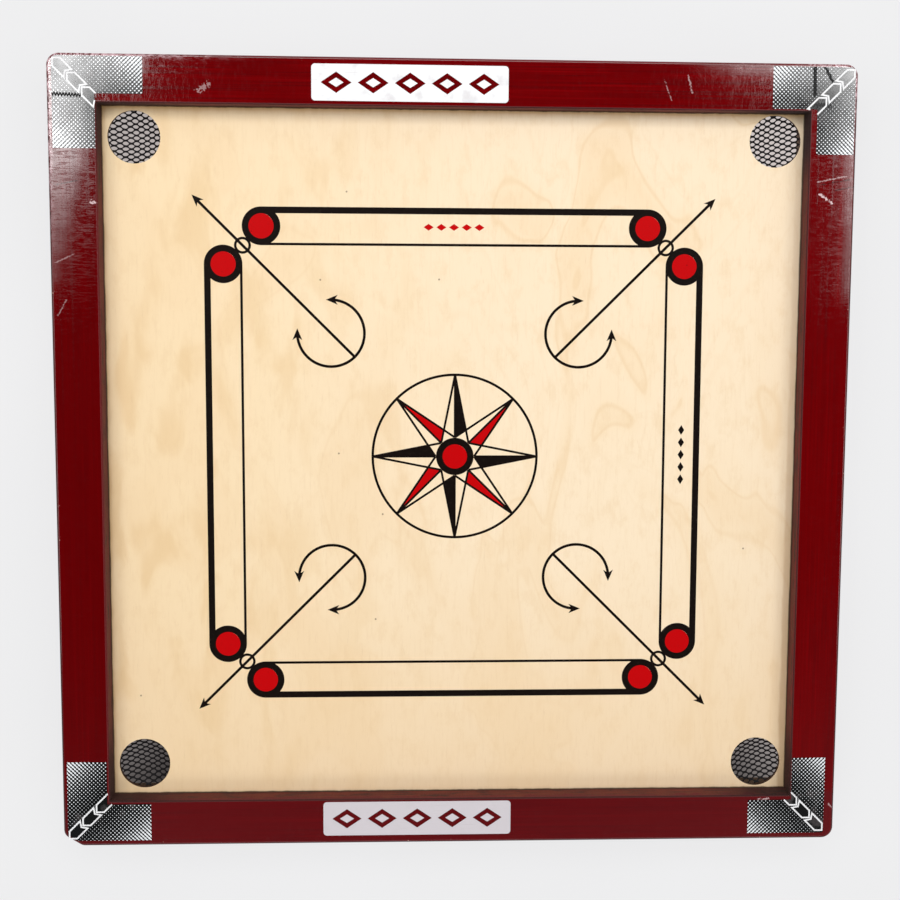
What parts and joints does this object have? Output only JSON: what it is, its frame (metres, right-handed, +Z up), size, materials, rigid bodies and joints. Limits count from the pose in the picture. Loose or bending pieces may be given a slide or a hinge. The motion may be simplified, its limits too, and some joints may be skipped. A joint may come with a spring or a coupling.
{
  "type": "carrom board",
  "caption": "Square tabletop game board: plywood playing surface with ruled markings in a raised painted frame, with a round netted pocket at each corner.",
  "frame": {"origin": "middle of the board on the surface that it stands on", "axes": "+Z up out of the playing surface, +X to the right and +Y away from the near player, along the rails"},
  "size_m": [0.6604, 0.6604, 0.0443],
  "materials": {
    "rail_paint": "gloss",
    "birch_ply": "satin",
    "raw_batten": "matte",
    "net_cord": "matte",
    "sticker_vinyl": "gloss",
    "white_transfer": "gloss",
    "nail_steel": "dull",
    "staple_steel": "bright"
  },
  "bodies": {
    "root": {"left_rail": "rail_paint", "right_rail": "rail_paint", "far_rail": "rail_paint", "near_rail": "rail_paint", "playing_panel": "birch_ply", "batten_left": "raw_batten", "batten_right": "raw_batten", "batten_far": "raw_batten", "batten_near": "raw_batten", "pocket_net_far_left": "net_cord", "pocket_net_far_right": "net_cord", "pocket_net_near_left": "net_cord", "pocket_net_near_right": "net_cord", "corner_sticker_far_left": "sticker_vinyl", "corner_sticker_far_right": "sticker_vinyl", "corner_sticker_near_left": "sticker_vinyl", "corner_sticker_near_right": "sticker_vinyl", "far_rail_transfer": "white_transfer", "near_rail_transfer": "white_transfer", "corner_nails": "nail_steel", "batten_nails": "nail_steel", "net_staples": "staple_steel"}
  },
  "joints": []
}
